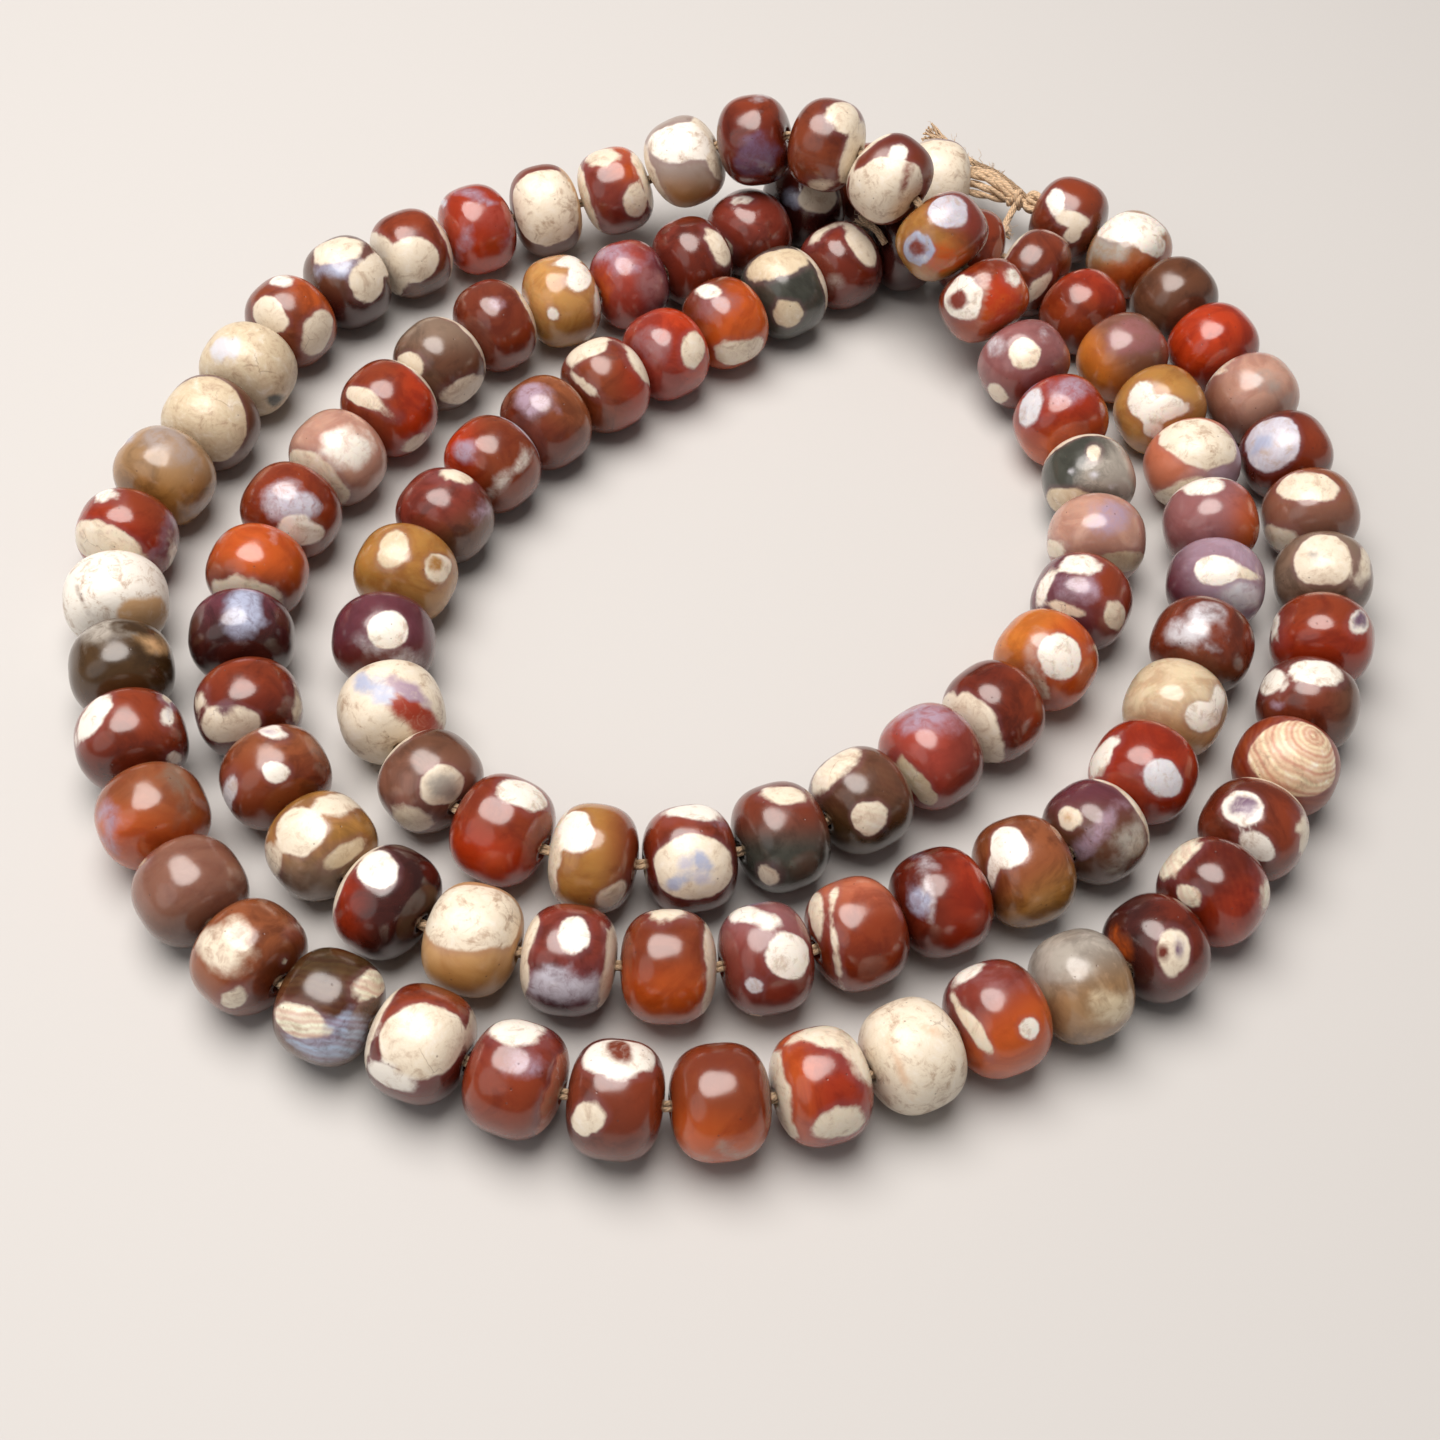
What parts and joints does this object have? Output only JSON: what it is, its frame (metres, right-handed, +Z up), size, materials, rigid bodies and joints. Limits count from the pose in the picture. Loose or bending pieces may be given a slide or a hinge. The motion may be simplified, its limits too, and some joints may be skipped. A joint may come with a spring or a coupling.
{
  "type": "bead necklace",
  "caption": "Closed string of drum-shaped banded agate beads on cotton yarn, laid down in three nested turns, with the knot and the frayed yarn ends showing.",
  "frame": {"origin": "on the surface that the necklace lies on, under the middle of its outline", "axes": "+Z up from the surface; +X to the right of the picture; +Y away from the viewer, towards the bare stretch with the knot"},
  "size_m": [0.1525, 0.1604, 0.0249],
  "materials": {
    "agate": "polished",
    "cotton_yarn": "matte"
  },
  "bodies": {
    "root": {"beads": "agate", "thread": "cotton_yarn", "knot": "cotton_yarn", "long_end": "cotton_yarn", "short_end": "cotton_yarn"}
  },
  "joints": []
}
